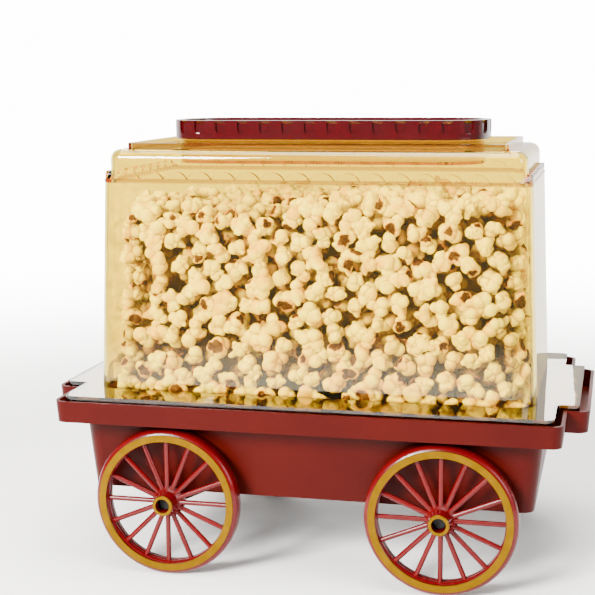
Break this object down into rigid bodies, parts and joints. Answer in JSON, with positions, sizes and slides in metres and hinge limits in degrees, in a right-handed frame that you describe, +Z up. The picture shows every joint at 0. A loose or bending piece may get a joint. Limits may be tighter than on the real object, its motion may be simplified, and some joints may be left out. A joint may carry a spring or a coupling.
{
  "type": "popcorn maker",
  "caption": "Tabletop popcorn maker shaped like a circus wagon: spoked wheels, tub with rail, clear lift-off cover, crimped lid, stirred plate.",
  "frame": {"origin": "centre of the footprint on the surface the wheels stand on", "axes": "+X along the wagon's length, -Y towards the front long side, +Z up"},
  "size_m": [0.419, 0.2512, 0.3453],
  "materials": {
    "red_satin": "satin",
    "dark_plastic": "matte",
    "zinc_steel": "zinc plated",
    "axle_steel": "ground",
    "black_plastic": "satin",
    "nonstick": "non-stick coated",
    "seal_rubber": "matte",
    "element_steel": "heat dulled",
    "shield_aluminium": "mill finish",
    "motor_steel": "zinc plated",
    "bush_brass": "turned",
    "ceramic_body": "matte",
    "stir_steel": "drawn",
    "pin_brass": "nickel plated",
    "amber_clear": "clear gloss",
    "crimson_gloss": "gloss",
    "wheel_red": "satin gloss",
    "gold_band": "painted gold"
  },
  "bodies": {
    "base": {"wagon_tub": "red_satin", "bottom_cover": "dark_plastic", "bottom_screws": "zinc_steel", "axle_left": "axle_steel", "axle_right": "axle_steel", "axle_caps": "black_plastic", "popping_plate": "nonstick", "plate_seal": "seal_rubber", "heating_element": "element_steel", "heat_shield": "shield_aluminium", "plate_studs": "zinc_steel", "stud_nuts": "zinc_steel", "motor_bracket": "zinc_steel", "gearmotor": "motor_steel", "motor_screws": "zinc_steel", "shaft_bush": "bush_brass", "thermostat": "shield_aluminium", "thermal_fuse": "ceramic_body", "power_inlet": "black_plastic", "inlet_pins": "pin_brass"},
    "stirrer": {"drive_shaft": "axle_steel", "stir_hub": "black_plastic", "stir_arm": "stir_steel"},
    "cover": {"clear_cover": "amber_clear"},
    "lid": {"butter_lid": "crimson_gloss"},
    "wheel_body_fl": {"wheel_fl": "wheel_red", "rim_ring_fl": "gold_band", "hub_ring_fl": "gold_band"},
    "wheel_body_fr": {"wheel_fr": "wheel_red", "rim_ring_fr": "gold_band", "hub_ring_fr": "gold_band"},
    "wheel_body_rl": {"wheel_rl": "wheel_red", "rim_ring_rl": "gold_band", "hub_ring_rl": "gold_band"},
    "wheel_body_rr": {"wheel_rr": "wheel_red", "rim_ring_rr": "gold_band", "hub_ring_rr": "gold_band"}
  },
  "joints": [
    {"name": "cover_lift", "type": "slide", "parent": "base", "child": "cover", "axis": [0, 0, 1], "range_m": [0, 0.2]},
    {"name": "lid_lift", "type": "slide", "parent": "cover", "child": "lid", "axis": [0, 0, 1], "range_m": [0, 0.06]},
    {"name": "stir_spin", "type": "hinge", "parent": "base", "child": "stirrer", "pos_m": [0, 0, 0.12], "axis": [0, 0, 1], "continuous": true},
    {"name": "wheel_spin_fl", "type": "hinge", "parent": "base", "child": "wheel_body_fl", "pos_m": [-0.1053, -0.118, 0.0572], "axis": [0, 1, 0], "continuous": true},
    {"name": "wheel_spin_fr", "type": "hinge", "parent": "base", "child": "wheel_body_fr", "pos_m": [0.1053, -0.118, 0.0572], "axis": [0, 1, 0], "continuous": true},
    {"name": "wheel_spin_rl", "type": "hinge", "parent": "base", "child": "wheel_body_rl", "pos_m": [-0.1053, 0.118, 0.0572], "axis": [0, 1, 0], "continuous": true},
    {"name": "wheel_spin_rr", "type": "hinge", "parent": "base", "child": "wheel_body_rr", "pos_m": [0.1053, 0.118, 0.0572], "axis": [0, 1, 0], "continuous": true}
  ]
}
